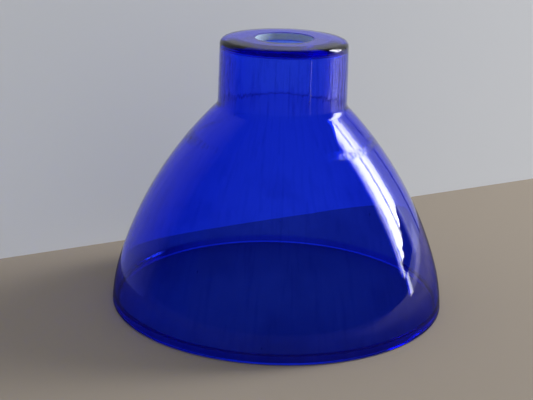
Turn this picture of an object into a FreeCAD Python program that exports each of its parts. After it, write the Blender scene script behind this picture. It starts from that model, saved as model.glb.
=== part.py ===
import FreeCAD, Part
import math
import os
import Sketcher

# Blown glass pendant lamp shade: bell, neck and flat collar are one piece of glass.
# Millimetres. The origin is at the middle of the circle that the rim rests on, with +Z up the shade's axis.

DIMENSIONS = {
    "shade_height": 188.0,          # resting rim to the top of the collar
    "rim_diameter": 234.5,          # outside, at the resting edge before it is rounded
    "rim_lean": 2.5,                # degrees that the wall leans in where it leaves the rim
    "skirt_height": 30.0,           # height of the skirt arc, where the shoulder arc takes over
    "skirt_inset": 5.2,             # how far the skirt arc comes in over that height
    "neck_height": 46.0,            # foot of the neck to the top of the collar
    "neck_diameter": 89.0,          # outside, at the foot of the neck
    "collar_diameter": 87.5,        # outside, at the collar
    "collar_flat_diameter": 64.0,   # flat middle of the collar, inside its crowned border
    "collar_drop": 1.1,             # fall of the crowned border from the flat to the collar's edge
    "collar_thickness": 5.7,
    "holder_hole_diameter": 40.0,   # plain hole for the lampholder
    "bell_wall": 3.0,
    "neck_wall": 2.8,
    "bead_width": 4.8,              # glass at the rim, thickened inwards
    "bead_height": 4.6,             # height of the thick part of the rim
    "bead_slope": 55.0,             # degrees above level of the bead's shoulder, back to the wall
    "neck_foot_radius": 7.0,        # outside corner between neck and bell
    "neck_throat_radius": 10.0,     # the same corner inside
    "collar_edge_radius": 3.8,
    "collar_under_radius": 2.5,     # inside corner under the collar
    "foot_outer_radius": 1.5,
    "foot_inner_radius": 1.5,
    "bead_top_radius": 2.0,
    "hole_edge_break": 0.4,         # ground chamfer on both edges of the hole
}


def make_sheet(doc):
    sheet = doc.addObject("Spreadsheet::Sheet", "dims")
    for row, (alias, value) in enumerate(DIMENSIONS.items(), start=1):
        sheet.set("A%d" % row, alias)
        sheet.set("B%d" % row, str(value))
        sheet.setAlias("B%d" % row, alias)
    return sheet


def new_sketch(body, name, plane_role):
    plane = next(o for o in body.Origin.OriginFeatures if o.Role == plane_role)
    sketch = body.newObject("Sketcher::SketchObject", name)
    sketch.AttachmentSupport = [(plane, "")]
    sketch.MapMode = "FlatFace"
    return sketch


def polar(centre, radius, angle):
    return FreeCAD.Vector(centre.x + radius * math.cos(angle), centre.y + radius * math.sin(angle), 0)


def arc_through(start, end, lean):
    """Centre and radius of the arc that leaves start leaning by lean, and its lean at end."""
    chord = end - start
    chord_lean = math.atan2(-chord.x, chord.y)
    radius = chord.Length / (2 * math.sin(chord_lean - lean))
    return polar(start, -radius, lean), radius, 2 * chord_lean - lean


def section_points(dims):
    """Where the section's corners lie, so that the sketch is drawn near to its solution."""
    pt = {}
    pt["rim"] = FreeCAD.Vector(dims.rim_diameter / 2, 0, 0)
    pt["skirt_top"] = FreeCAD.Vector(pt["rim"].x - dims.skirt_inset, dims.skirt_height, 0)
    pt["neck_foot"] = FreeCAD.Vector(dims.neck_diameter / 2, dims.shade_height - dims.neck_height, 0)
    pt["collar_edge"] = FreeCAD.Vector(dims.collar_diameter / 2, dims.shade_height - dims.collar_drop, 0)
    pt["collar_flat"] = FreeCAD.Vector(dims.collar_flat_diameter / 2, dims.shade_height, 0)
    pt["top"] = FreeCAD.Vector(0, dims.shade_height, 0)
    pt["underside"] = FreeCAD.Vector(0, dims.shade_height - dims.collar_thickness, 0)
    rim_lean = math.radians(dims.rim_lean)
    pt["skirt_centre"], skirt_r, lean = arc_through(pt["rim"], pt["skirt_top"], rim_lean)
    pt["shoulder_centre"], shoulder_r, foot_lean = arc_through(pt["skirt_top"], pt["neck_foot"], lean)
    border = pt["collar_edge"].x - pt["collar_flat"].x
    crown_r = (border ** 2 + dims.collar_drop ** 2) / (2 * dims.collar_drop)
    pt["crown_centre"] = FreeCAD.Vector(pt["collar_flat"].x, dims.shade_height - crown_r, 0)
    # the inside of the wall, on the same arc centres
    pt["skirt_top_in"] = polar(pt["skirt_centre"], skirt_r - dims.bell_wall, lean)
    inner_r = shoulder_r - dims.bell_wall
    neck_lean = math.atan2(pt["neck_foot"].x - pt["collar_edge"].x, pt["collar_edge"].y - pt["neck_foot"].y)
    bore_x = pt["neck_foot"].x - dims.neck_wall / math.cos(neck_lean)
    throat = math.acos((bore_x - pt["shoulder_centre"].x) / inner_r)
    pt["throat"] = polar(pt["shoulder_centre"], inner_r, throat)
    rise = pt["underside"].y - pt["throat"].y
    pt["bore_top"] = FreeCAD.Vector(pt["throat"].x - rise * math.tan(neck_lean), pt["underside"].y, 0)
    # the bead inside the rim
    pt["bead_foot"] = FreeCAD.Vector(pt["rim"].x - dims.bead_width, 0, 0)
    pt["bead_top"] = FreeCAD.Vector(pt["bead_foot"].x, dims.bead_height, 0)
    step = dims.bead_width - dims.bell_wall
    slope = math.tan(math.radians(dims.bead_slope))
    pt["bead_end"] = FreeCAD.Vector(pt["bead_top"].x + step, pt["bead_top"].y + step * slope, 0)
    return pt


def arc_between(centre, start, end):
    """Arc from start to end, anticlockwise about centre."""
    circle = Part.Circle(centre, FreeCAD.Vector(0, 0, 1), (start - centre).Length)
    first = math.atan2(start.y - centre.y, start.x - centre.x)
    last = math.atan2(end.y - centre.y, end.x - centre.x)
    return Part.ArcOfCircle(circle, first, last)


def draw_section(sketch, dims):
    """Half section of the glass, closed on the axis: outside going up, then inside going down."""
    pt = section_points(dims)
    line = {}
    line["skirt"] = sketch.addGeometry(arc_between(pt["skirt_centre"], pt["rim"], pt["skirt_top"]))
    line["shoulder"] = sketch.addGeometry(arc_between(pt["shoulder_centre"], pt["skirt_top"], pt["neck_foot"]))
    line["neck"] = sketch.addGeometry(Part.LineSegment(pt["neck_foot"], pt["collar_edge"]))
    line["crown"] = sketch.addGeometry(arc_between(pt["crown_centre"], pt["collar_edge"], pt["collar_flat"]))
    line["flat"] = sketch.addGeometry(Part.LineSegment(pt["collar_flat"], pt["top"]))
    line["axis"] = sketch.addGeometry(Part.LineSegment(pt["top"], pt["underside"]))
    line["under"] = sketch.addGeometry(Part.LineSegment(pt["underside"], pt["bore_top"]))
    line["bore"] = sketch.addGeometry(Part.LineSegment(pt["bore_top"], pt["throat"]))
    inner_shoulder = arc_between(pt["shoulder_centre"], pt["skirt_top_in"], pt["throat"])
    line["shoulder_in"] = sketch.addGeometry(inner_shoulder)
    line["skirt_in"] = sketch.addGeometry(arc_between(pt["skirt_centre"], pt["bead_end"], pt["skirt_top_in"]))
    line["bead_shoulder"] = sketch.addGeometry(Part.LineSegment(pt["bead_end"], pt["bead_top"]))
    line["bead"] = sketch.addGeometry(Part.LineSegment(pt["bead_top"], pt["bead_foot"]))
    line["foot"] = sketch.addGeometry(Part.LineSegment(pt["bead_foot"], pt["rim"]))
    # construction: the skirt's radius at the rim, which carries the lean, and the wall at the skirt's top
    line["lean"] = sketch.addGeometry(Part.LineSegment(pt["skirt_centre"], pt["rim"]), True)
    line["wall"] = sketch.addGeometry(Part.LineSegment(pt["skirt_top_in"], pt["skirt_top"]), True)
    return line


START, END, CENTRE = 1, 2, 3
ORIGIN = (-1, 1)


def join_section(sketch, line):
    """Corners, tangencies, shared arc centres and the level and upright lines."""
    def join(kind, first, first_end, second, second_end):
        sketch.addConstraint(Sketcher.Constraint(kind, line[first], first_end, line[second], second_end))

    join("Tangent", "skirt", END, "shoulder", START)
    join("Coincident", "shoulder", END, "neck", START)
    join("Coincident", "neck", END, "crown", START)
    join("Tangent", "crown", END, "flat", START)
    join("Coincident", "flat", END, "axis", START)
    join("Coincident", "axis", END, "under", START)
    join("Coincident", "under", END, "bore", START)
    join("Coincident", "bore", END, "shoulder_in", END)
    join("Coincident", "shoulder_in", START, "skirt_in", END)
    join("Coincident", "skirt_in", START, "bead_shoulder", START)
    join("Coincident", "bead_shoulder", END, "bead", START)
    join("Coincident", "bead", END, "foot", START)
    join("Coincident", "foot", END, "skirt", START)
    join("Coincident", "skirt_in", CENTRE, "skirt", CENTRE)
    join("Coincident", "shoulder_in", CENTRE, "shoulder", CENTRE)
    join("Coincident", "lean", START, "skirt", CENTRE)
    join("Coincident", "lean", END, "skirt", START)
    join("Coincident", "wall", START, "skirt_in", END)
    join("Coincident", "wall", END, "skirt", END)
    for level in ("flat", "under", "foot"):
        sketch.addConstraint(Sketcher.Constraint("Horizontal", line[level]))
    sketch.addConstraint(Sketcher.Constraint("Vertical", line["bead"]))
    sketch.addConstraint(Sketcher.Constraint("PointOnObject", line["axis"], START, -2))
    sketch.addConstraint(Sketcher.Constraint("PointOnObject", line["axis"], END, -2))
    sketch.addConstraint(Sketcher.Constraint("PointOnObject", line["skirt"], START, -1))
    sketch.addConstraint(Sketcher.Constraint("Parallel", line["bore"], line["neck"]))
    # the wall is measured along the radius that the two skirt arcs share
    sketch.addConstraint(Sketcher.Constraint("PointOnObject", line["skirt"], CENTRE, line["wall"]))


def size_section(sketch, line, dims):
    """Named sizes of the section, each bound to the sheet."""
    def size(name, constraint, expression):
        index = sketch.addConstraint(constraint)
        sketch.renameConstraint(index, name)
        sketch.setExpression("Constraints." + name, expression)

    def across(name, geometry, end, value, expression):
        constraint = Sketcher.Constraint("DistanceX", *ORIGIN, line[geometry], end, value)
        size(name, constraint, expression)

    across("rim_radius", "skirt", START, dims.rim_diameter / 2, "dims.rim_diameter / 2")
    across("neck_radius", "neck", START, dims.neck_diameter / 2, "dims.neck_diameter / 2")
    across("collar_radius", "neck", END, dims.collar_diameter / 2, "dims.collar_diameter / 2")
    across("flat_radius", "flat", START, dims.collar_flat_diameter / 2, "dims.collar_flat_diameter / 2")

    def rise(name, low, low_end, high, high_end, value, expression):
        constraint = Sketcher.Constraint("DistanceY", line[low], low_end, line[high], high_end, value)
        size(name, constraint, expression)

    rise("height", "skirt", START, "axis", START, dims.shade_height, "dims.shade_height")
    rise("skirt_height", "skirt", START, "skirt", END, dims.skirt_height, "dims.skirt_height")
    rise("neck_height", "neck", START, "axis", START, dims.neck_height, "dims.neck_height")
    rise("drop", "neck", END, "axis", START, dims.collar_drop, "dims.collar_drop")
    rise("thickness", "axis", END, "axis", START, dims.collar_thickness, "dims.collar_thickness")
    rise("bead_height", "bead", END, "bead", START, dims.bead_height, "dims.bead_height")
    skirt, foot = line["skirt"], line["foot"]
    inset = Sketcher.Constraint("DistanceX", skirt, END, skirt, START, dims.skirt_inset)
    size("skirt_inset", inset, "dims.skirt_inset")
    bead = Sketcher.Constraint("DistanceX", foot, START, foot, END, dims.bead_width)
    size("bead_width", bead, "dims.bead_width")
    lean = Sketcher.Constraint("Angle", line["lean"], math.radians(dims.rim_lean))
    size("rim_lean", lean, "dims.rim_lean")
    slope = Sketcher.Constraint("Angle", line["bead_shoulder"], math.radians(dims.bead_slope - 180))
    size("bead_slope", slope, "dims.bead_slope - 180")
    size("bell_wall", Sketcher.Constraint("Distance", line["wall"], dims.bell_wall), "dims.bell_wall")
    neck_wall = Sketcher.Constraint("Distance", line["bore"], END, line["neck"], dims.neck_wall)
    size("neck_wall", neck_wall, "dims.neck_wall")


def circle_edges(shape, places):
    """Names of the full-circle edges nearest to each (radius, height)."""
    names = []
    for radius, height in places:
        def miss(numbered):
            curve = numbered[1].Curve
            return math.hypot(curve.Radius - radius, curve.Center.z - height)
        rings = [(i, e) for i, e in enumerate(shape.Edges, start=1) if isinstance(e.Curve, Part.Circle)
                 and abs(e.Curve.Axis.z) > 0.999 and e.isClosed()]
        names.append("Edge%d" % min(rings, key=miss)[0])
    return names


def round_edges(body, kind, name, places, size_name, expression):
    """Fillet or chamfer on the ring edges at places, sized from the sheet."""
    base = body.Tip
    feature = body.newObject("PartDesign::" + kind, name)
    feature.Base = (base, circle_edges(base.Shape, places))
    feature.setExpression(size_name, expression)
    body.Document.recompute()
    return feature


def corner(sketch, geometry, end):
    point = sketch.getPoint(geometry, end)
    return point.x, point.y


def build_glass_shade(doc, dims):
    body = doc.addObject("PartDesign::Body", "glass_shade")
    body.Label = "glass_shade"
    section = new_sketch(body, "glass_section", "XZ_Plane")
    line = draw_section(section, dims)
    join_section(section, line)
    size_section(section, line, dims)
    doc.recompute()

    blown = body.newObject("PartDesign::Revolution", "blown_glass")
    blown.Profile = section
    blown.ReferenceAxis = (section, ["V_Axis"])
    blown.Angle = 360
    section.Visibility = False
    doc.recompute()
    blown_volume = blown.Shape.Volume

    hole_sketch = new_sketch(body, "holder_hole_sketch", "XY_Plane")
    hole_sketch.setExpression("AttachmentOffset.Base.z", "dims.shade_height")
    hole_radius = dims.holder_hole_diameter / 2
    ring = Part.Circle(FreeCAD.Vector(0, 0, 0), FreeCAD.Vector(0, 0, 1), hole_radius)
    circle = hole_sketch.addGeometry(ring)
    hole_sketch.addConstraint(Sketcher.Constraint("Coincident", circle, CENTRE, *ORIGIN))
    size = hole_sketch.addConstraint(Sketcher.Constraint("Diameter", circle, dims.holder_hole_diameter))
    hole_sketch.renameConstraint(size, "holder_hole")
    hole_sketch.setExpression("Constraints.holder_hole", "dims.holder_hole_diameter")
    doc.recompute()
    hole = body.newObject("PartDesign::Pocket", "holder_hole")
    hole.Profile = hole_sketch
    hole.Length = dims.collar_thickness
    hole.setExpression("Length", "dims.collar_thickness")
    hole_sketch.Visibility = False
    doc.recompute()
    disc = math.pi * hole_radius ** 2 * dims.collar_thickness
    cut = blown_volume - hole.Shape.Volume
    if abs(cut - disc) > 0.01 * disc:
        raise RuntimeError("the holder hole cut %.1f mm3 where its disc is %.1f mm3" % (cut, disc))

    collar_edge = corner(section, line["neck"], END)
    collar_under = corner(section, line["bore"], START)
    neck_foot = corner(section, line["neck"], START)
    throat = corner(section, line["bore"], END)
    foot_outer = corner(section, line["foot"], END)
    foot_inner = corner(section, line["foot"], START)
    bead_top = corner(section, line["bead"], START)
    bead_end = corner(section, line["bead_shoulder"], START)
    hole_edges = [(hole_radius, dims.shade_height), (hole_radius, dims.shade_height - dims.collar_thickness)]
    round_edges(body, "Fillet", "neck_foot", [neck_foot], "Radius", "dims.neck_foot_radius")
    round_edges(body, "Fillet", "neck_throat", [throat], "Radius", "dims.neck_throat_radius")
    round_edges(body, "Fillet", "collar_edge", [collar_edge], "Radius", "dims.collar_edge_radius")
    round_edges(body, "Fillet", "collar_under", [collar_under], "Radius", "dims.collar_under_radius")
    # the bead is no rounder than its step in from the wall has room for
    bead_round = "min(dims.bead_top_radius; 1.2 * (dims.bead_width - dims.bell_wall))"
    round_edges(body, "Fillet", "bead_top", [bead_top, bead_end], "Radius", bead_round)
    round_edges(body, "Fillet", "foot_outer", [foot_outer], "Radius", "dims.foot_outer_radius")
    round_edges(body, "Fillet", "foot_inner", [foot_inner], "Radius", "dims.foot_inner_radius")
    round_edges(body, "Chamfer", "hole_edges", hole_edges, "Size", "dims.hole_edge_break")
    return body


def check(doc, bodies):
    for item in doc.Objects:
        if "Invalid" in item.State or "Error" in item.State:
            raise RuntimeError("%s failed: %s" % (item.Name, item.State))
    for body in bodies:
        shape = body.Shape
        if shape.isNull() or not shape.isValid() or len(shape.Solids) != 1:
            raise RuntimeError("%s is not one valid solid" % body.Label)
        box = shape.optimalBoundingBox()
        print("%s: %.1f x %.1f x %.1f mm, %.1f cm3" % (body.Label, box.XLength, box.YLength, box.ZLength,
                                                       shape.Volume / 1000))


document = FreeCAD.newDocument("lamp_shade")
dims = make_sheet(document)
document.recompute()
bodies = [build_glass_shade(document, dims)]
document.recompute()
check(document, bodies)
os.makedirs("parts", exist_ok=True)
for body in bodies:
    body.Shape.exportStep(os.path.join("parts", body.Label + ".step"))
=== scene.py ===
# Blue glass pendant shade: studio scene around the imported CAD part.
import bmesh
import bpy
import math
from mathutils import Matrix, Vector, noise


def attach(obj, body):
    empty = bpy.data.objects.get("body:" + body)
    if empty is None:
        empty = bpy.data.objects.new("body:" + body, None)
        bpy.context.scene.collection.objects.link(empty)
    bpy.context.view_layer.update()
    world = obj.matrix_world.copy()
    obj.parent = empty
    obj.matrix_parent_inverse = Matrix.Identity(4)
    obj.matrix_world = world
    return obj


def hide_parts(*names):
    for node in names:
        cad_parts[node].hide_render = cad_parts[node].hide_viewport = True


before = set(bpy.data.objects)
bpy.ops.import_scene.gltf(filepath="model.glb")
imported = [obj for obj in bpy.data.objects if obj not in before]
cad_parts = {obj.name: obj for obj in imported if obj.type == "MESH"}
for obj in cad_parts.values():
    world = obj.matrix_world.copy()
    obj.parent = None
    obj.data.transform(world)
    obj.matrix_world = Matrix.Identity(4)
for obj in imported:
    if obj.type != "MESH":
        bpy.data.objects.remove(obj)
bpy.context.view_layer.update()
mm = 0.001


# glass shade
shade = {
    "height": 188.0,            # rim to the top of the collar, millimetres like all the sizes here
    "rimRadius": 117.25,
    "rimLean": 2.5,             # degrees
    "skirtHeight": 30.0,
    "skirtInset": 5.2,
    "neckHeight": 46.0,
    "neckRadius": 44.5,
    "collarRadius": 43.75,
    "collarDrop": 1.1,
    "flatRadius": 32.0,
    "collarThickness": 5.7,
    "holeRadius": 20.0,
    "bellWall": 3.0,
    "neckWall": 2.8,
    "beadWidth": 4.8,
    "beadHeight": 4.6,
    "beadSlope": 55.0,          # degrees above level
    "beadMargin": 0.25,         # where the wall's arc ends short of the bead's face
    "turns": 288,               # steps round the axis
    "skirtSteps": 12, "shoulderSteps": 46, "innerShoulderSteps": 44, "innerSkirtSteps": 9,
    "longestRun": 3.2,          # longer straight stretches are cut
    "mergeWithin": 0.0005,
}
rounds = {                      # corner radii
    "neckFoot": 7.0, "collarEdge": 3.8, "crown": 24.0, "holeTop": 0.4, "holeUnder": 0.4,
    "collarUnder": 2.5, "throat": 10.0, "beadEnd": 2.0, "beadTop": 2.0, "footInner": 1.5, "footOuter": 1.5,
}


def arcThrough(start, end, lean):
    # centre and radius of the arc that leaves start leaning inwards by lean, and its lean at end
    chord = end - start
    chordLean = math.atan2(-chord.x, chord.z)
    radius = chord.length / (2 * math.sin(chordLean - lean))
    centre = start - radius * Vector((math.cos(lean), 0, math.sin(lean)))
    return centre, radius, 2 * chordLean - lean


def extendTo(bm, vert, x, z):
    # straight run of the outline to a new corner
    new = bmesh.ops.extrude_vert_indiv(bm, verts=[vert])["verts"][0]
    new.co = Vector((x, 0, z))
    return new


def sweepArc(bm, vert, centre, angle, steps):
    # arc of the outline: positive angles go up the shade
    result = bmesh.ops.spin(bm, geom=[vert], cent=centre, axis=(0, -1, 0), angle=angle, steps=steps)
    return next(g for g in result["geom_last"] if isinstance(g, bmesh.types.BMVert))


def roundCorner(bm, vert, radius):
    # fillet on a corner of the wire outline: the offset is the tangent length for that radius
    first, second = [(e.other_vert(vert).co - vert.co).normalized() for e in vert.link_edges]
    turn = math.pi - first.angle(second)
    segments = max(3, round(math.degrees(turn) / 9))
    bmesh.ops.bevel(bm, geom=[vert], offset=radius * math.tan(turn / 2), offset_type="OFFSET",
                    segments=segments, profile=0.5, affect="VERTICES", material=-1)


def drawOutline(bm):
    s = shade
    rim = Vector((s["rimRadius"], 0, 0))
    skirtTop = Vector((rim.x - s["skirtInset"], 0, s["skirtHeight"]))
    neckFoot = Vector((s["neckRadius"], 0, s["height"] - s["neckHeight"]))
    rimLean = math.radians(s["rimLean"])
    skirtCentre, skirtRadius, skirtTopLean = arcThrough(rim, skirtTop, rimLean)
    shoulderCentre, shoulderRadius, footLean = arcThrough(skirtTop, neckFoot, skirtTopLean)
    under = s["height"] - s["collarThickness"]
    neckLean = math.atan2(s["neckRadius"] - s["collarRadius"], s["neckHeight"] - s["collarDrop"])
    boreX = s["neckRadius"] - s["neckWall"] / math.cos(neckLean)
    corner = {}
    corner["footOuter"] = bm.verts.new(rim)
    vert = sweepArc(bm, corner["footOuter"], skirtCentre, skirtTopLean - rimLean, s["skirtSteps"])
    vert = sweepArc(bm, vert, shoulderCentre, footLean - skirtTopLean, s["shoulderSteps"])
    corner["neckFoot"] = vert
    corner["collarEdge"] = extendTo(bm, vert, s["collarRadius"], s["height"] - s["collarDrop"])
    corner["crown"] = extendTo(bm, corner["collarEdge"], s["flatRadius"], s["height"])
    corner["holeTop"] = extendTo(bm, corner["crown"], s["holeRadius"], s["height"])
    corner["holeUnder"] = extendTo(bm, corner["holeTop"], s["holeRadius"], under)
    throatAngle = math.acos((boreX - shoulderCentre.x) / (shoulderRadius - s["bellWall"]))
    throatZ = shoulderCentre.z + (shoulderRadius - s["bellWall"]) * math.sin(throatAngle)
    boreTopX = boreX - (under - throatZ) * math.tan(neckLean)
    corner["collarUnder"] = extendTo(bm, corner["holeUnder"], boreTopX, under)
    corner["throat"] = extendTo(bm, corner["collarUnder"], boreX, throatZ)
    back = skirtTopLean - throatAngle
    vert = sweepArc(bm, corner["throat"], shoulderCentre, back, s["innerShoulderSteps"])
    innerRadius = skirtRadius - s["bellWall"]
    step = s["beadWidth"] - s["bellWall"] - s["beadMargin"]
    endZ = s["beadHeight"] + step * math.tan(math.radians(s["beadSlope"]))
    endLean = math.asin((endZ - skirtCentre.z) / innerRadius)
    vert = sweepArc(bm, vert, skirtCentre, endLean - skirtTopLean, s["innerSkirtSteps"])
    corner["beadEnd"] = vert
    beadX = s["rimRadius"] - s["beadWidth"]
    corner["beadTop"] = extendTo(bm, vert, beadX, s["beadHeight"])
    corner["footInner"] = extendTo(bm, corner["beadTop"], beadX, 0)
    bm.edges.new((corner["footInner"], corner["footOuter"]))
    for name, radius in rounds.items():
        roundCorner(bm, corner[name], radius)


def cutLongRuns(bm, longest):
    # straight stretches get rings of their own, so that light bends evenly over them
    for edge in list(bm.edges):
        cuts = int(edge.calc_length() / longest)
        if cuts:
            bmesh.ops.subdivide_edges(bm, edges=[edge], cuts=cuts)


waves = {
    "swell": 0.045, "length": 34.0,          # slow unevenness of the blown surface
    "fromRim": (12.0, 34.0), "fromTop": (6.0, 22.0),   # fades out towards the true rim and collar
}


def fade(value, low, high):
    t = min(1.0, max(0.0, (value - low) / (high - low)))
    return t * t * (3 - 2 * t)


drawn = {                       # upright lines that the blowing left in the bore of the neck
    "depth": 0.16, "count": 13.0, "twist": 0.004, "maxRadius": 43.0,
    "low": (143.0, 152.0), "top": (9.0, 16.0), "finer": 2.3, "finerShare": 0.6,
}


def addDrawnLines(bm):
    for vert in bm.verts:
        radius = vert.co.xy.length
        strength = fade(vert.co.z, *drawn["low"]) * fade(shade["height"] - vert.co.z, *drawn["top"])
        if radius > drawn["maxRadius"] or not strength:
            continue
        outwards = vert.co.xy / radius
        around = Vector((outwards.x, outwards.y, vert.co.z * drawn["twist"])) * drawn["count"]
        depth = noise.noise(around) + drawn["finerShare"] * noise.noise(around * drawn["finer"])
        vert.co.xy *= 1 - depth * drawn["depth"] * strength / radius


def addWaves(bm):
    for vert in bm.verts:
        strength = fade(vert.co.z, *waves["fromRim"]) * fade(shade["height"] - vert.co.z, *waves["fromTop"])
        if strength:
            outwards = Vector((vert.co.x, vert.co.y, 0)).normalized()
            vert.co += outwards * noise.noise(vert.co / waves["length"]) * waves["swell"] * strength


seeds = {                       # gas bubbles in the glass
    "depth": 1.45, "rimDepth": 2.2, "rimTop": 5.0,   # below the skin, deeper in the thick rim
    # degrees round the axis from the back, height, half width, half length
    "places": ((-176, 10.4, 0.50, 0.55), (-138, 7.8, 0.38, 0.5), (-147, 4.4, 0.3, 0.4),
               (-150.5, 51.2, 0.32, 0.9), (179.2, 86.3, 0.3, 0.9), (137.2, 85.3, 0.3, 1.6),
               (-62, 64, 0.3, 0.6), (24, 37, 0.35, 0.5), (74, 101, 0.28, 0.8),
               (-12, 92, 0.3, 0.7), (112, 22, 0.35, 0.45), (-98, 118, 0.26, 0.6)),
}


def skinAt(bm, z):
    # radius of the outer surface at a height, from the finished mesh
    level = [v for v in bm.verts if abs(v.co.z - z) < 1.6]
    near = min(level, key=lambda v: abs(v.co.z - z) * 0.2 - v.co.xy.length)
    return near.co.xy.length


def addSeeds(bm):
    # each bubble is a small closed hollow inside the wall, so its faces look inwards
    radii = [skinAt(bm, place[1]) for place in seeds["places"]]
    for (azimuth, z, wide, tall), radius in zip(seeds["places"], radii):
        turn = math.radians(azimuth)
        depth = seeds["depth"] if z > seeds["rimTop"] else seeds["rimDepth"]
        spot = Vector((math.sin(turn), math.cos(turn), 0)) * (radius - depth) + Vector((0, 0, z))
        bubble = bmesh.ops.create_icosphere(bm, subdivisions=2, radius=1.0)["verts"]
        bmesh.ops.scale(bm, vec=(wide, wide, tall), verts=bubble)
        bmesh.ops.translate(bm, vec=spot, verts=bubble)
        bmesh.ops.reverse_faces(bm, faces=list({f for v in bubble for f in v.link_faces}))


def blowGlass():
    bm = bmesh.new()
    drawOutline(bm)
    cutLongRuns(bm, shade["longestRun"])
    bmesh.ops.spin(bm, geom=list(bm.verts) + list(bm.edges), cent=(0, 0, 0), axis=(0, 0, 1),
                   angle=2 * math.pi, steps=shade["turns"], use_merge=True)
    bmesh.ops.remove_doubles(bm, verts=bm.verts, dist=shade["mergeWithin"])
    bmesh.ops.recalc_face_normals(bm, faces=bm.faces)
    if bm.calc_volume(signed=True) < 0:
        bmesh.ops.reverse_faces(bm, faces=bm.faces)
    addWaves(bm)
    addDrawnLines(bm)
    addSeeds(bm)
    for face in bm.faces:
        face.smooth = True
    bmesh.ops.scale(bm, vec=(mm, mm, mm), verts=bm.verts)
    mesh = bpy.data.meshes.new("shadeGlass")
    bm.to_mesh(mesh)
    bm.free()
    piece = bpy.data.objects.new("shadeGlass", mesh)
    bpy.context.scene.collection.objects.link(piece)
    print("glass shade:", len(mesh.polygons), "faces")
    return piece


# ground edge of the hole
edge = {"radius": 19.93, "depth": 0.13, "low": 182.75, "high": 187.55, "turns": 144}


def grindEdge():
    bm = bmesh.new()
    corner = bm.verts.new((edge["radius"], 0, edge["low"]))
    first = corner
    for x, z in ((edge["radius"], edge["high"]), (edge["radius"] - edge["depth"], edge["high"]),
                 (edge["radius"] - edge["depth"], edge["low"])):
        corner = extendTo(bm, corner, x, z)
    bm.edges.new((corner, first))
    bmesh.ops.spin(bm, geom=list(bm.verts) + list(bm.edges), cent=(0, 0, 0), axis=(0, 0, 1),
                   angle=2 * math.pi, steps=edge["turns"], use_merge=True)
    bmesh.ops.remove_doubles(bm, verts=bm.verts, dist=shade["mergeWithin"])
    bmesh.ops.recalc_face_normals(bm, faces=bm.faces)
    bmesh.ops.scale(bm, vec=(mm, mm, mm), verts=bm.verts)
    mesh = bpy.data.meshes.new("groundEdge")
    bm.to_mesh(mesh)
    bm.free()
    ring = bpy.data.objects.new("groundEdge", mesh)
    bpy.context.scene.collection.objects.link(ring)
    print("ground edge:", len(mesh.polygons), "faces")
    return ring


# materials
glassLook = {
    "ior": 1.5,
    "tint": (0.01, 0.33, 0.995, 1.0),  # what stays of white light after one density length
    "density": 690.0,                  # per metre
    "polish": 0.012, "ground": 0.62,   # roughness of the blown skin and of the ground hole edge
    "groundRadius": 0.0203, "groundSoft": 0.0002,   # metres: everything inside it is the ground edge
    "grainScale": 1400.0, "grainShare": 0.2,
    "striaCount": 24.0, "striaHeight": 0.00025, "striaRise": 1.2, "bellStria": 0.05,
    "neckFrom": 0.140, "neckTo": 0.147, "collarFrom": 0.178, "collarTo": 0.184,
    "combCount": 56.0, "combHeight": 0.0003, "combRise": 4.0,
    "combAt": 0.1195, "combHalf": 0.0030,
    "cordColor": (0.55, 0.62, 0.80, 1.0), "cordFrom": 0.50, "cordTo": 0.72, "bellCord": 0.30,
    "cloudColor": (0.62, 0.70, 0.84, 1.0), "cloudScale": 30.0, "cloudFrom": 0.42, "cloudTo": 0.70,
    "cloudTop": 0.095, "cloudFull": 0.038, "cloudShare": 0.55,
    "seamAzimuth": 156.0, "seamHalf": 0.0006, "seamHeight": 0.0003, "seamFrom": 0.143, "seamTo": 0.147,
}


def newMaterial(name):
    material = bpy.data.materials.new(name)
    material.use_nodes = True
    material.node_tree.nodes.clear()
    return material, material.node_tree.nodes, material.node_tree.links


def mathNode(tree, operation, first, second=None):
    node = tree.nodes.new("ShaderNodeMath")
    node.operation = operation
    for socket, value in zip(node.inputs, (first, second)):
        if value is None:
            continue
        if isinstance(value, (int, float)):
            socket.default_value = value
        else:
            tree.links.new(value, socket)
    return node.outputs[0]


def between(tree, value, low, high):
    # 0 below low, 1 above high, smooth in between
    node = tree.nodes.new("ShaderNodeMapRange")
    node.interpolation_type = "SMOOTHSTEP"
    node.inputs["From Min"].default_value = low
    node.inputs["From Max"].default_value = high
    tree.links.new(value, node.inputs["Value"])
    return node.outputs["Result"]


def roundAbout(tree, x, y, z, rise):
    # point on a unit circle, so that a noise read there depends on the angle, and a little on height
    flat = tree.nodes.new("ShaderNodeCombineXYZ")
    tree.links.new(x, flat.inputs["X"])
    tree.links.new(y, flat.inputs["Y"])
    unit = tree.nodes.new("ShaderNodeVectorMath")
    unit.operation = "NORMALIZE"
    tree.links.new(flat.outputs[0], unit.inputs[0])
    lift = tree.nodes.new("ShaderNodeCombineXYZ")
    tree.links.new(mathNode(tree, "MULTIPLY", z, rise), lift.inputs["Z"])
    total = tree.nodes.new("ShaderNodeVectorMath")
    total.operation = "ADD"
    tree.links.new(unit.outputs[0], total.inputs[0])
    tree.links.new(lift.outputs[0], total.inputs[1])
    return total.outputs[0]


def noiseAt(tree, vector, scale, detail, rough):
    node = tree.nodes.new("ShaderNodeTexNoise")
    node.inputs["Scale"].default_value = scale
    node.inputs["Detail"].default_value = detail
    node.inputs["Roughness"].default_value = rough
    tree.links.new(vector, node.inputs["Vector"])
    return node.outputs["Fac"]


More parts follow.
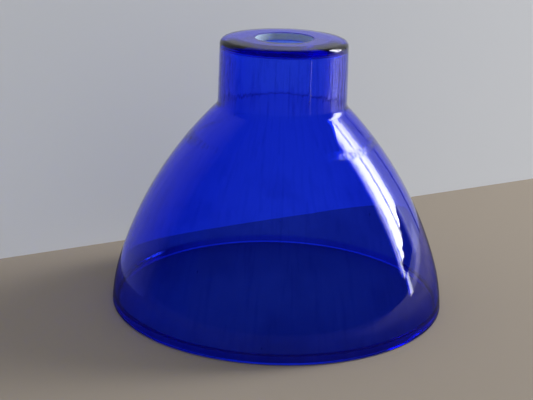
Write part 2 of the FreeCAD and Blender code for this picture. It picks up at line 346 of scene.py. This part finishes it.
def cobaltGlass():
    look = glassLook
    material, nodes, links = newMaterial("cobaltGlass")
    tree = material.node_tree
    out = nodes.new("ShaderNodeOutputMaterial")
    body = nodes.new("ShaderNodeBsdfPrincipled")
    body.inputs["Transmission Weight"].default_value = 1.0
    body.inputs["IOR"].default_value = look["ior"]
    place = nodes.new("ShaderNodeTexCoord").outputs["Object"]
    parts = nodes.new("ShaderNodeSeparateXYZ")
    links.new(place, parts.inputs[0])
    x, y, z = parts.outputs
    across = nodes.new("ShaderNodeVectorMath")
    across.operation = "LENGTH"
    flat = nodes.new("ShaderNodeCombineXYZ")
    links.new(x, flat.inputs["X"])
    links.new(y, flat.inputs["Y"])
    links.new(flat.outputs[0], across.inputs[0])
    radius = across.outputs["Value"]
    # the hole's wall was ground, and a narrow line of its edges with it
    skin = between(tree, radius, look["groundRadius"] - look["groundSoft"],
                   look["groundRadius"] + look["groundSoft"])
    ground = mathNode(tree, "SUBTRACT", 1.0, skin)
    grain = mathNode(tree, "MULTIPLY", noiseAt(tree, place, look["grainScale"], 2, 0.6), look["grainShare"])
    grain = mathNode(tree, "ADD", grain, look["ground"] - look["grainShare"] / 2)
    matte = mathNode(tree, "MULTIPLY", ground, grain)
    links.new(mathNode(tree, "ADD", matte, look["polish"]), body.inputs["Roughness"])
    # upright lines drawn into the neck by the blowing, and a comb of fine marks round the shoulder
    neckMask = between(tree, z, look["neckFrom"], look["neckTo"])
    neckMask = mathNode(tree, "MAXIMUM", neckMask, look["bellStria"])
    collarMask = mathNode(tree, "SUBTRACT", 1.0, between(tree, z, look["collarFrom"], look["collarTo"]))
    stria = noiseAt(tree, roundAbout(tree, x, y, z, look["striaRise"]), look["striaCount"], 3, 0.62)
    stria = mathNode(tree, "SUBTRACT", stria, 0.5)
    striaLift = mathNode(tree, "MULTIPLY", mathNode(tree, "MULTIPLY", stria, neckMask), collarMask)
    comb = noiseAt(tree, roundAbout(tree, x, y, z, look["combRise"]), look["combCount"], 1, 0.5)
    offRing = mathNode(tree, "ABSOLUTE", mathNode(tree, "SUBTRACT", z, look["combAt"]))
    combMask = between(tree, offRing, look["combHalf"] * 0.3, look["combHalf"])
    combMask = mathNode(tree, "SUBTRACT", 1.0, combMask)
    combLift = mathNode(tree, "MULTIPLY", mathNode(tree, "SUBTRACT", comb, 0.5), combMask)
    # one thin scratch-like line down the neck
    seam = math.radians(look["seamAzimuth"])
    sideways = mathNode(tree, "SUBTRACT", mathNode(tree, "MULTIPLY", x, math.cos(seam)),
                        mathNode(tree, "MULTIPLY", y, math.sin(seam)))
    outwards = mathNode(tree, "ADD", mathNode(tree, "MULTIPLY", x, math.sin(seam)),
                        mathNode(tree, "MULTIPLY", y, math.cos(seam)))
    facing = mathNode(tree, "GREATER_THAN", outwards, 0.02)
    offSeam = mathNode(tree, "ABSOLUTE", sideways)
    seamLine = mathNode(tree, "SUBTRACT", 1.0, between(tree, offSeam, 0.0, look["seamHalf"]))
    seamSpan = mathNode(tree, "MULTIPLY", between(tree, z, look["seamFrom"], look["seamTo"]), collarMask)
    seamLift = mathNode(tree, "MULTIPLY", mathNode(tree, "MULTIPLY", seamLine, facing), seamSpan)
    # denser cords in the melt follow the same lines, and the lower bell is a little cloudy
    cordMask = between(tree, z, look["neckFrom"], look["neckTo"])
    cordMask = mathNode(tree, "MAXIMUM", cordMask, look["bellCord"])
    cord = between(tree, mathNode(tree, "ADD", stria, 0.5), look["cordFrom"], look["cordTo"])
    cord = mathNode(tree, "MULTIPLY", cord, mathNode(tree, "MULTIPLY", cordMask, collarMask))
    low = mathNode(tree, "SUBTRACT", 1.0, between(tree, z, look["cloudFull"], look["cloudTop"]))
    cloud = noiseAt(tree, place, look["cloudScale"], 2, 0.5)
    cloud = between(tree, cloud, look["cloudFrom"], look["cloudTo"])
    cloud = mathNode(tree, "MULTIPLY", mathNode(tree, "MULTIPLY", cloud, low), look["cloudShare"])
    color = (1, 1, 1, 1)
    for share, tone in ((cord, look["cordColor"]), (cloud, look["cloudColor"])):
        mix = nodes.new("ShaderNodeMix")
        mix.data_type = "RGBA"
        mix.blend_type = "MULTIPLY"
        links.new(share, mix.inputs["Factor"])
        if isinstance(color, tuple):
            mix.inputs["A"].default_value = color
        else:
            links.new(color, mix.inputs["A"])
        mix.inputs["B"].default_value = tone
        color = mix.outputs["Result"]
    links.new(color, body.inputs["Base Color"])
    relief = nodes.new("ShaderNodeBump")
    relief.inputs["Distance"].default_value = look["striaHeight"]
    links.new(striaLift, relief.inputs["Height"])
    marks = nodes.new("ShaderNodeBump")
    marks.inputs["Distance"].default_value = look["combHeight"]
    links.new(combLift, marks.inputs["Height"])
    links.new(relief.outputs["Normal"], marks.inputs["Normal"])
    thread = nodes.new("ShaderNodeBump")
    thread.inputs["Distance"].default_value = look["seamHeight"]
    links.new(seamLift, thread.inputs["Height"])
    links.new(marks.outputs["Normal"], thread.inputs["Normal"])
    links.new(thread.outputs["Normal"], body.inputs["Normal"])
    absorb = nodes.new("ShaderNodeVolumeAbsorption")
    absorb.inputs["Color"].default_value = look["tint"]
    absorb.inputs["Density"].default_value = look["density"]
    links.new(body.outputs["BSDF"], out.inputs["Surface"])
    links.new(absorb.outputs["Volume"], out.inputs["Volume"])
    return material


groundLook = {
    "pale": (0.80, 0.95, 1.0, 1), "deep": (0.64, 0.82, 1.0, 1),
    "roughness": 0.85, "through": 0.35, "cloud": 260.0, "grain": 1600.0, "grainHeight": 0.00004,
}


def groundGlass():
    material, nodes, links = newMaterial("groundGlass")
    tree = material.node_tree
    out = nodes.new("ShaderNodeOutputMaterial")
    body = nodes.new("ShaderNodeBsdfPrincipled")
    body.inputs["Roughness"].default_value = groundLook["roughness"]
    body.inputs["Transmission Weight"].default_value = groundLook["through"]
    place = nodes.new("ShaderNodeTexCoord").outputs["Object"]
    cloud = noiseAt(tree, place, groundLook["cloud"], 3, 0.6)
    mix = nodes.new("ShaderNodeMix")
    mix.data_type = "RGBA"
    mix.inputs["A"].default_value = groundLook["deep"]
    mix.inputs["B"].default_value = groundLook["pale"]
    links.new(cloud, mix.inputs["Factor"])
    links.new(mix.outputs["Result"], body.inputs["Base Color"])
    bump = nodes.new("ShaderNodeBump")
    bump.inputs["Distance"].default_value = groundLook["grainHeight"]
    links.new(noiseAt(tree, place, groundLook["grain"], 2, 0.6), bump.inputs["Height"])
    links.new(bump.outputs["Normal"], body.inputs["Normal"])
    links.new(body.outputs["BSDF"], out.inputs["Surface"])
    return material


def matt(name, color, roughness, glow=0.0):
    material, nodes, links = newMaterial(name)
    out = nodes.new("ShaderNodeOutputMaterial")
    body = nodes.new("ShaderNodeBsdfPrincipled")
    body.inputs["Base Color"].default_value = color
    body.inputs["Roughness"].default_value = roughness
    body.inputs["Specular IOR Level"].default_value = 0.0
    body.inputs["Emission Color"].default_value = (0.92, 0.95, 1.0, 1)
    body.inputs["Emission Strength"].default_value = glow
    links.new(body.outputs["BSDF"], out.inputs["Surface"])
    return material


def mirroredShare(tree):
    # 1 where a ray comes straight from a polished reflection
    path = tree.nodes.new("ShaderNodeLightPath")
    return mathNode(tree, "MULTIPLY", path.outputs["Is Glossy Ray"], path.outputs["Is Reflection Ray"])


def dimMirrored(material, keep):
    # the surface stays as it is, but its mirror image in the glass is darker
    tree = material.node_tree
    out = next(n for n in tree.nodes if n.type == "OUTPUT_MATERIAL")
    shown = out.inputs["Surface"].links[0].from_socket
    dark = tree.nodes.new("ShaderNodeBsdfDiffuse")
    dark.inputs["Color"].default_value = (0.004, 0.004, 0.006, 1)
    mix = tree.nodes.new("ShaderNodeMixShader")
    loss = mathNode(tree, "SUBTRACT", 1.0, keep)
    tree.links.new(mathNode(tree, "MULTIPLY", mirroredShare(tree), loss), mix.inputs[0])
    tree.links.new(shown, mix.inputs[1])
    tree.links.new(dark.outputs[0], mix.inputs[2])
    tree.links.new(mix.outputs[0], out.inputs["Surface"])


def paintBlueGlowThrough(material, amount):
    # painted light: the surface gives off an extra blue glow, only on rays that reach it through the glass
    tree = material.node_tree
    out = next(n for n in tree.nodes if n.type == "OUTPUT_MATERIAL")
    shown = out.inputs["Surface"].links[0].from_socket
    path = tree.nodes.new("ShaderNodeLightPath")
    lift = tree.nodes.new("ShaderNodeEmission")
    lift.inputs["Color"].default_value = (0.0, 0.12, 1.0, 1)
    strength = mathNode(tree, "MULTIPLY", path.outputs["Is Transmission Ray"], amount)
    tree.links.new(strength, lift.inputs["Strength"])
    both = tree.nodes.new("ShaderNodeAddShader")
    tree.links.new(shown, both.inputs[0])
    tree.links.new(lift.outputs[0], both.inputs[1])
    tree.links.new(both.outputs[0], out.inputs["Surface"])


def glowingWall():
    # one-sided soft panel: lit from the front, fading out at its left end and top, open from behind
    material = matt("paleWall", studio["wallColor"], 0.9, studio["wallGlow"])
    tree = material.node_tree
    place = tree.nodes.new("ShaderNodeTexCoord").outputs["Object"]
    parts = tree.nodes.new("ShaderNodeSeparateXYZ")
    tree.links.new(place, parts.inputs[0])
    turn = math.radians(studio["wallTurn"])
    along = mathNode(tree, "ADD", mathNode(tree, "MULTIPLY", parts.outputs[0], math.cos(turn)),
                     mathNode(tree, "MULTIPLY", parts.outputs[1], math.sin(turn)))
    left = between(tree, along, *studio["wallLeft"])
    top = between(tree, parts.outputs[2], *studio["wallTop"])
    side = tree.nodes.new("ShaderNodeNewGeometry").outputs["Backfacing"]
    front = mathNode(tree, "SUBTRACT", 1.0, side)
    solid = mathNode(tree, "MULTIPLY", mathNode(tree, "MULTIPLY", left, top), front)
    body = next(n for n in tree.nodes if n.type == "BSDF_PRINCIPLED")
    out = next(n for n in tree.nodes if n.type == "OUTPUT_MATERIAL")
    clear = tree.nodes.new("ShaderNodeBsdfTransparent")
    mix = tree.nodes.new("ShaderNodeMixShader")
    tree.links.new(solid, mix.inputs[0])
    tree.links.new(clear.outputs[0], mix.inputs[1])
    tree.links.new(body.outputs["BSDF"], mix.inputs[2])
    tree.links.new(mix.outputs[0], out.inputs["Surface"])
    faded = between(tree, along, *studio["wallDim"])
    faded = mathNode(tree, "MULTIPLY", faded, 1.0 - studio["wallMirrored"])
    dimMirrored(material, mathNode(tree, "ADD", faded, studio["wallMirrored"]))
    # painted blue glow on the backdrop, seen only through the glass
    paintBlueGlowThrough(material, studio["wallBlueGlowThrough"])
    return material


# studio
studio = {
    "width": 8.0,
    "wallDistance": 0.1545,      # from the shade's axis, square to the backdrop
    "wallTurn": 30.0,            # degrees that the backdrop is turned from facing the camera
    "wallHeight": 1.1, "wallTop": (1.0, 0.55), "wallLeft": (-0.40, -0.15),   # soft ends of the backdrop
    "wallDim": (-0.25, 0.10), "wallMirrored": 0.45,      # its left part is darker in reflections
    # strength of the backdrop's painted blue glow, seen only through the glass
    "wallBlueGlowThrough": 0.12,
    "floorDrop": 0.0003,
    # the last value here is the strength of the floor's painted blue glow, seen only through the glass
    "floorColor": (0.40, 0.345, 0.285, 1), "floorMirrored": 0.25, "floorBlueGlowThrough": 0.06,
    "litAcross": (0.12, 0.28), "litDeep": (-0.30, -0.12),   # the floor to the right keeps its mirror image
    "wallColor": (0.60, 0.62, 0.66, 1),
    "wallGlow": 0.17,            # the backdrop is a soft light panel
    "flagAzimuth": 44.0, "flagWidth": 0.055,   # dark card seen only in reflections: it paints the dark reflected line beside the bright edge
}


def plane(name, sizeX, sizeY, matrix, material):
    bm = bmesh.new()
    bmesh.ops.create_grid(bm, x_segments=1, y_segments=1, size=0.5)
    bmesh.ops.scale(bm, vec=(sizeX, sizeY, 1), verts=bm.verts)
    bmesh.ops.transform(bm, matrix=matrix, verts=bm.verts)
    mesh = bpy.data.meshes.new(name)
    bm.to_mesh(mesh)
    bm.free()
    mesh.materials.append(material)
    obj = bpy.data.objects.new(name, mesh)
    bpy.context.scene.collection.objects.link(obj)
    return obj


def buildStage():
    floorMaterial = matt("paleFloor", studio["floorColor"], 0.6)
    tree = floorMaterial.node_tree
    parts = tree.nodes.new("ShaderNodeSeparateXYZ")
    tree.links.new(tree.nodes.new("ShaderNodeTexCoord").outputs["Object"], parts.inputs[0])
    beside = mathNode(tree, "MULTIPLY", between(tree, parts.outputs[0], *studio["litAcross"]),
                      between(tree, parts.outputs[1], *studio["litDeep"]))
    lit = mathNode(tree, "MULTIPLY", beside, 1.0 - studio["floorMirrored"])
    dimMirrored(floorMaterial, mathNode(tree, "ADD", lit, studio["floorMirrored"]))
    # painted blue glow on the floor, seen only through the glass
    paintBlueGlowThrough(floorMaterial, studio["floorBlueGlowThrough"])
    wallMaterial = glowingWall()
    below = Matrix.Translation((0, 0, -studio["floorDrop"]))
    plane("floor", studio["width"], studio["width"], below, floorMaterial)
    turn = math.radians(studio["wallTurn"])
    middle = Matrix.Translation((0, studio["wallDistance"], studio["wallHeight"] / 2))
    stand = Matrix.Rotation(turn, 4, "Z") @ middle @ Matrix.Rotation(math.pi / 2, 4, "X")
    plane("wall", studio["width"], studio["wallHeight"], stand, wallMaterial)


def standFlag():
    # thin dark upright card against the backdrop, to the right of the view; it shows only in reflections,
    # as a painted dark line in the glass
    turn = math.radians(studio["wallTurn"])
    az = math.radians(studio["flagAzimuth"])
    reach = (studio["wallDistance"] - 0.006) / math.cos(az + turn)
    spot = Vector((math.sin(az), math.cos(az), 0)) * reach + Vector((0, 0, 0.3))
    upright = Matrix.Rotation(turn, 4, "Z") @ Matrix.Rotation(math.pi / 2, 4, "X")
    black = matt("flagBlack", (0.01, 0.01, 0.015, 1), 0.8)
    flag = plane("darkFlag", studio["flagWidth"], 0.6, Matrix.Translation(spot) @ upright, black)
    flag.visible_camera = False
    flag.visible_diffuse = False
    flag.visible_transmission = False
    flag.visible_shadow = False


windows = {
    # upright strips: first and last azimuth, first and last elevation, brightness
    "distance": 2.2,
    "strips": ((50.5, 56.6, 9.5, 42.0, 3.0), (57.0, 61.0, 9.0, 42.0, 10.0), (61.0, 65.2, 7.5, 42.0, 14.0),
               (65.4, 67.0, 6.2, 42.0, 5.0), (67.2, 71.5, 5.5, 42.0, 17.0), (71.5, 75.8, 4.0, 42.0, 15.0),
               (76.4, 78.6, 1.0, 42.0, 7.0), (78.9, 80.8, 2.5, 42.0, 2.5)),
}
sills = {                       # low strips: first and last azimuth, brightness
    "distance": 0.7, "foot": 0.001, "head": 0.066,
    "strips": ((50.0, 77.8, 0.5), (77.8, 81.2, 6.0)),
}
room = {"open": 0.42, "mirrored": 0.03, "color": (0.93, 0.96, 1.0)}   # dark where the skin mirrors it


def uprightLight(name, distance, low, high, foot, head, radiance):
    # flat light standing upright between two azimuths and two heights, facing the shade
    mid = math.radians((low + high) / 2)
    light = bpy.data.lights.new(name, "AREA")
    light.shape = "RECTANGLE"
    light.size = 2 * distance * math.tan(math.radians(high - low) / 2)
    light.size_y = head - foot
    light.energy = radiance * light.size * light.size_y * math.pi
    obj = bpy.data.objects.new(name, light)
    away = Vector((math.sin(mid), math.cos(mid), 0))
    facing = away.to_track_quat("Z", "Y").to_matrix().to_4x4()
    obj.matrix_world = Matrix.Translation(away * distance + Vector((0, 0, (foot + head) / 2))) @ facing
    obj.visible_camera = False
    bpy.context.scene.collection.objects.link(obj)
    return obj


def buildLights():
    reach = windows["distance"]
    for index, (low, high, bottom, top, radiance) in enumerate(windows["strips"]):
        foot = reach * math.tan(math.radians(bottom)) + 0.09
        head = reach * math.tan(math.radians(top)) + 0.09
        uprightLight("window" + str(index + 1), reach, low, high, foot, head, radiance)
    for index, (low, high, radiance) in enumerate(sills["strips"]):
        name = "sill" + str(index + 1)
        sill = uprightLight(name, sills["distance"], low, high, sills["foot"], sills["head"], radiance)
        sill.visible_diffuse = False
    world = bpy.data.worlds.new("studioWorld")
    bpy.context.scene.world = world
    world.use_nodes = True
    tree = world.node_tree
    glossy = tree.nodes.new("ShaderNodeLightPath").outputs["Is Glossy Ray"]
    dimming = mathNode(tree, "MULTIPLY", glossy, room["open"] - room["mirrored"])
    tree.nodes["Background"].inputs["Color"].default_value = (*room["color"], 1)
    strength = mathNode(tree, "SUBTRACT", room["open"], dimming)
    tree.links.new(strength, tree.nodes["Background"].inputs["Strength"])


camera = {
    "back": 0.82635, "height": 0.33783,
    "pan": -0.01085, "down": 0.31101, "roll": 0.02913,   # radians
    "lens": 83.12,
}


def buildCamera():
    pan, down, roll = camera["pan"], camera["down"], camera["roll"]
    forward = Vector((math.sin(pan) * math.cos(down), math.cos(pan) * math.cos(down), -math.sin(down)))
    level = Vector((math.cos(pan), -math.sin(pan), 0))
    upright = level.cross(forward)
    right = level * math.cos(roll) + upright * math.sin(roll)
    up = upright * math.cos(roll) - level * math.sin(roll)
    data = bpy.data.cameras.new("camera")
    data.lens = camera["lens"]
    data.sensor_width = 36
    obj = bpy.data.objects.new("camera", data)
    turned = Matrix((right, up, -forward)).transposed().to_4x4()
    obj.matrix_world = Matrix.Translation((0, -camera["back"], camera["height"])) @ turned
    bpy.context.scene.collection.objects.link(obj)
    bpy.context.scene.camera = obj


piece = blowGlass()
piece.data.materials.append(cobaltGlass())
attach(piece, "root")
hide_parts("glass_shade")
ring = grindEdge()
ring.data.materials.append(groundGlass())
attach(ring, "root")
buildStage()
standFlag()
buildLights()
buildCamera()
bpy.context.scene.view_settings.view_transform = "Standard"
